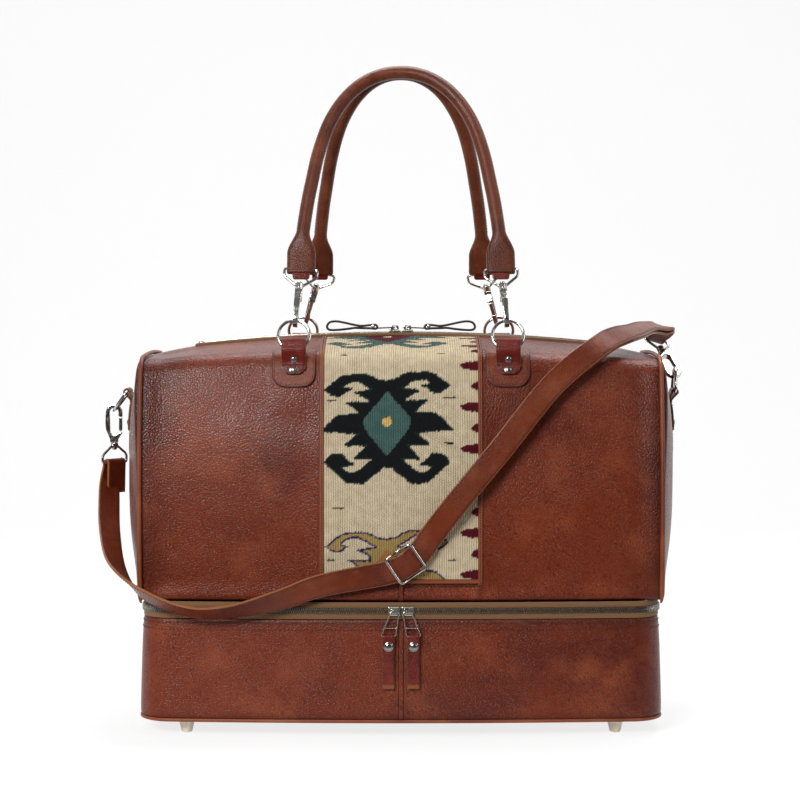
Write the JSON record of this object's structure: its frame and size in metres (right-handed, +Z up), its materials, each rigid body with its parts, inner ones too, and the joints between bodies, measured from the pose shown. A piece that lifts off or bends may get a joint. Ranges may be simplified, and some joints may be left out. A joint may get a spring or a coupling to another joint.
{
  "type": "travel bag",
  "caption": "Leather travel bag with a woven wool band, zipped base compartment, two rolled handles on swivel snap hooks and a flat shoulder strap with an adjuster.",
  "frame": {"origin": "middle of the bounding box on the floor plane, under the bag", "axes": "+X to the bag's right end seen from the front, +Y from the front to the back, +Z up"},
  "size_m": [0.5828, 0.2674, 0.6509],
  "materials": {
    "cognac_leather": "semi-gloss grained",
    "edge_leather": "satin",
    "dark_thong_leather": "matte",
    "woven_wool": "matte woven",
    "olive_zip_tape": "matte woven",
    "nickel": "polished",
    "cream_plastic": "satin"
  },
  "bodies": {
    "bag": {"base_bottom": "edge_leather", "base_wall": "cognac_leather", "base_zip": "olive_zip_tape", "body_left": "cognac_leather", "body_right": "cognac_leather", "end_panel_left": "cognac_leather", "end_panel_right": "cognac_leather", "foot_back_left": "cream_plastic", "foot_back_right": "cream_plastic", "foot_front_left": "cream_plastic", "foot_front_right": "cream_plastic", "hook_loop_strap_left": "nickel", "hook_loop_strap_right": "nickel", "kilim_band": "woven_wool", "piping_left": "edge_leather", "piping_right": "edge_leather", "ring_tab_back_left": "cognac_leather", "ring_tab_back_right": "cognac_leather", "ring_tab_front_left": "cognac_leather", "ring_tab_front_right": "cognac_leather", "shoulder_strap": "cognac_leather", "strap_adjuster": "nickel", "strap_ring_left": "nickel", "strap_ring_right": "nickel", "strap_tab_left": "cognac_leather", "strap_tab_right": "cognac_leather", "top_zip": "olive_zip_tape"},
    "ring_front_left": {"ring_front_left": "nickel"},
    "ring_front_right": {"ring_front_right": "nickel"},
    "handle_front_set": {"hook_loop_front_left": "nickel", "hook_loop_front_right": "nickel", "handle_front": "cognac_leather"},
    "hook_front_left": {"hook_front_left": "nickel"},
    "gate_front_left": {"gate_front_left": "nickel"},
    "hook_front_right": {"hook_front_right": "nickel"},
    "gate_front_right": {"gate_front_right": "nickel"},
    "ring_back_left": {"ring_back_left": "nickel"},
    "ring_back_right": {"ring_back_right": "nickel"},
    "handle_back_set": {"hook_loop_back_left": "nickel", "hook_loop_back_right": "nickel", "handle_back": "cognac_leather"},
    "hook_back_left": {"hook_back_left": "nickel"},
    "gate_back_left": {"gate_back_left": "nickel"},
    "hook_back_right": {"hook_back_right": "nickel"},
    "gate_back_right": {"gate_back_right": "nickel"},
    "hook_strap_left": {"hook_strap_left": "nickel"},
    "gate_strap_left": {"gate_strap_left": "nickel"},
    "hook_strap_right": {"hook_strap_right": "nickel"},
    "gate_strap_right": {"gate_strap_right": "nickel"},
    "base_zip_slider_left": {"base_zip_slider_left": "nickel"},
    "base_zip_wire_left": {"base_zip_wire_left": "nickel"},
    "base_zip_tab_left": {"base_zip_tab_left": "cognac_leather"},
    "top_zip_slider_left": {"top_zip_slider_left": "nickel"},
    "top_zip_pull_left": {"top_zip_pull_left": "dark_thong_leather"},
    "base_zip_slider_right": {"base_zip_slider_right": "nickel"},
    "base_zip_wire_right": {"base_zip_wire_right": "nickel"},
    "base_zip_tab_right": {"base_zip_tab_right": "cognac_leather"},
    "top_zip_slider_right": {"top_zip_slider_right": "nickel"},
    "top_zip_pull_right": {"top_zip_pull_right": "dark_thong_leather"}
  },
  "joints": [
    {"name": "ring_front_left_tilt", "type": "hinge", "parent": "bag", "child": "ring_front_left", "pos_m": [-0.09395, -0.09191, 0.37119], "axis": [1, 0, 0], "range_deg": [0, 15]},
    {"name": "ring_front_right_tilt", "type": "hinge", "parent": "bag", "child": "ring_front_right", "pos_m": [0.11105, -0.09191, 0.37119], "axis": [1, 0, 0], "range_deg": [0, 15]},
    {"name": "handle_front_swing", "type": "hinge", "parent": "ring_front_left", "child": "handle_front_set", "pos_m": [0.00855, -0.08193, 0.39942], "axis": [1, 0, 0], "range_deg": [0, 110]},
    {"name": "hook_front_left_swivel", "type": "hinge", "parent": "handle_front_set", "child": "hook_front_left", "pos_m": [-0.09262, -0.08193, 0.39942], "axis": [0.089, 0.3319, 0.9391], "range_deg": [-12, 12]},
    {"name": "gate_front_left_pivot", "type": "hinge", "parent": "hook_front_left", "child": "gate_front_left", "pos_m": [-0.09093, -0.0696, 0.41513], "axis": [-0.996, 0.0296, 0.0839], "range_deg": [0, 28], "stiffness_Nm_per_rad": 0.004},
    {"name": "hook_front_right_swivel", "type": "hinge", "parent": "handle_front_set", "child": "hook_front_right", "pos_m": [0.10972, -0.08193, 0.39942], "axis": [-0.089, 0.3319, 0.9391], "range_deg": [-12, 12]},
    {"name": "gate_front_right_pivot", "type": "hinge", "parent": "hook_front_right", "child": "gate_front_right", "pos_m": [0.10803, -0.0696, 0.41513], "axis": [-0.996, -0.0296, -0.0839], "range_deg": [0, 28], "stiffness_Nm_per_rad": 0.004},
    {"name": "ring_back_left_tilt", "type": "hinge", "parent": "bag", "child": "ring_back_left", "pos_m": [-0.09395, 0.11551, 0.37119], "axis": [-1, 0, 0], "range_deg": [0, 15]},
    {"name": "ring_back_right_tilt", "type": "hinge", "parent": "bag", "child": "ring_back_right", "pos_m": [0.11105, 0.11551, 0.37119], "axis": [-1, 0, 0], "range_deg": [0, 15]},
    {"name": "handle_back_swing", "type": "hinge", "parent": "ring_back_left", "child": "handle_back_set", "pos_m": [0.00855, 0.10571, 0.39893], "axis": [-1, 0, 0], "range_deg": [0, 110]},
    {"name": "hook_back_left_swivel", "type": "hinge", "parent": "handle_back_set", "child": "hook_back_left", "pos_m": [-0.08984, 0.10571, 0.39893], "axis": [0.2743, -0.3204, 0.9067], "range_deg": [-12, 12]},
    {"name": "gate_back_left_pivot", "type": "hinge", "parent": "hook_back_left", "child": "gate_back_left", "pos_m": [-0.08463, 0.09359, 0.41403], "axis": [0.9617, 0.0914, -0.2586], "range_deg": [0, 28], "stiffness_Nm_per_rad": 0.004},
    {"name": "hook_back_right_swivel", "type": "hinge", "parent": "handle_back_set", "child": "hook_back_right", "pos_m": [0.10694, 0.10571, 0.39893], "axis": [-0.2743, -0.3204, 0.9067], "range_deg": [-12, 12]},
    {"name": "gate_back_right_pivot", "type": "hinge", "parent": "hook_back_right", "child": "gate_back_right", "pos_m": [0.10172, 0.09359, 0.41403], "axis": [0.9617, -0.0914, 0.2586], "range_deg": [0, 28], "stiffness_Nm_per_rad": 0.004},
    {"name": "hook_strap_left_swivel", "type": "hinge", "parent": "bag", "child": "hook_strap_left", "pos_m": [-0.27957, 0.0118, 0.3073], "axis": [0, 0, -1], "range_deg": [-12, 12]},
    {"name": "gate_strap_left_pivot", "type": "hinge", "parent": "hook_strap_left", "child": "gate_strap_left", "pos_m": [-0.27317, 0.0118, 0.2883], "axis": [0, -1, 0], "range_deg": [0, 28], "stiffness_Nm_per_rad": 0.004},
    {"name": "hook_strap_right_swivel", "type": "hinge", "parent": "bag", "child": "hook_strap_right", "pos_m": [0.28346, 0.0208, 0.34506], "axis": [-0.2905, 0.7012, 0.6511], "range_deg": [-12, 12]},
    {"name": "gate_strap_right_pivot", "type": "hinge", "parent": "hook_strap_right", "child": "gate_strap_right", "pos_m": [0.27184, 0.03241, 0.35655], "axis": [0.077, -0.6611, 0.7463], "range_deg": [0, 28], "stiffness_Nm_per_rad": 0.004},
    {"name": "base_zip_slider_left_travel", "type": "hinge", "parent": "bag", "child": "base_zip_slider_left", "pos_m": [0.00855, 2.82785, 0.1224], "axis": [0, 0, 1], "range_deg": [-3.97, 0]},
    {"name": "base_zip_wire_left_hinge", "type": "hinge", "parent": "base_zip_slider_left", "child": "base_zip_wire_left", "pos_m": [0.00219, -0.11144, 0.1224], "axis": [-1, 0.0022, 0], "range_deg": [0, 100]},
    {"name": "base_zip_tab_left_hinge", "type": "hinge", "parent": "base_zip_wire_left", "child": "base_zip_tab_left", "pos_m": [-0.00341, -0.11143, 0.0984], "axis": [-1, 0.0022, 0], "range_deg": [0, 60]},
    {"name": "top_zip_slider_left_travel", "type": "hinge", "parent": "bag", "child": "top_zip_slider_left", "pos_m": [0.00855, 0.0118, -1.57743], "axis": [0, 1, 0], "range_deg": [-5.31, 0]},
    {"name": "top_zip_pull_left_hinge", "type": "hinge", "parent": "top_zip_slider_left", "child": "top_zip_pull_left", "pos_m": [0.00219, 0.0118, 0.39099], "axis": [0, 1, 0], "range_deg": [0, 120]},
    {"name": "base_zip_slider_right_travel", "type": "hinge", "parent": "bag", "child": "base_zip_slider_right", "pos_m": [0.00855, 2.82785, 0.1224], "axis": [0, 0, -1], "range_deg": [-3.97, 0]},
    {"name": "base_zip_wire_right_hinge", "type": "hinge", "parent": "base_zip_slider_right", "child": "base_zip_wire_right", "pos_m": [0.01491, -0.11144, 0.1224], "axis": [-1, -0.0022, 0], "range_deg": [0, 100]},
    {"name": "base_zip_tab_right_hinge", "type": "hinge", "parent": "base_zip_wire_right", "child": "base_zip_tab_right", "pos_m": [0.02051, -0.11143, 0.0984], "axis": [-1, -0.0022, 0], "range_deg": [0, 60]},
    {"name": "top_zip_slider_right_travel", "type": "hinge", "parent": "bag", "child": "top_zip_slider_right", "pos_m": [0.00855, 0.0118, -1.57743], "axis": [0, 1, 0], "range_deg": [0, 5.31]},
    {"name": "top_zip_pull_right_hinge", "type": "hinge", "parent": "top_zip_slider_right", "child": "top_zip_pull_right", "pos_m": [0.01491, 0.0118, 0.39099], "axis": [0, 1, 0], "range_deg": [-120, 0]}
  ],
  "couplings": [
    {"joint": "ring_front_right_tilt", "follows": "ring_front_left_tilt", "ratio": 1},
    {"joint": "ring_back_right_tilt", "follows": "ring_back_left_tilt", "ratio": 1}
  ]
}
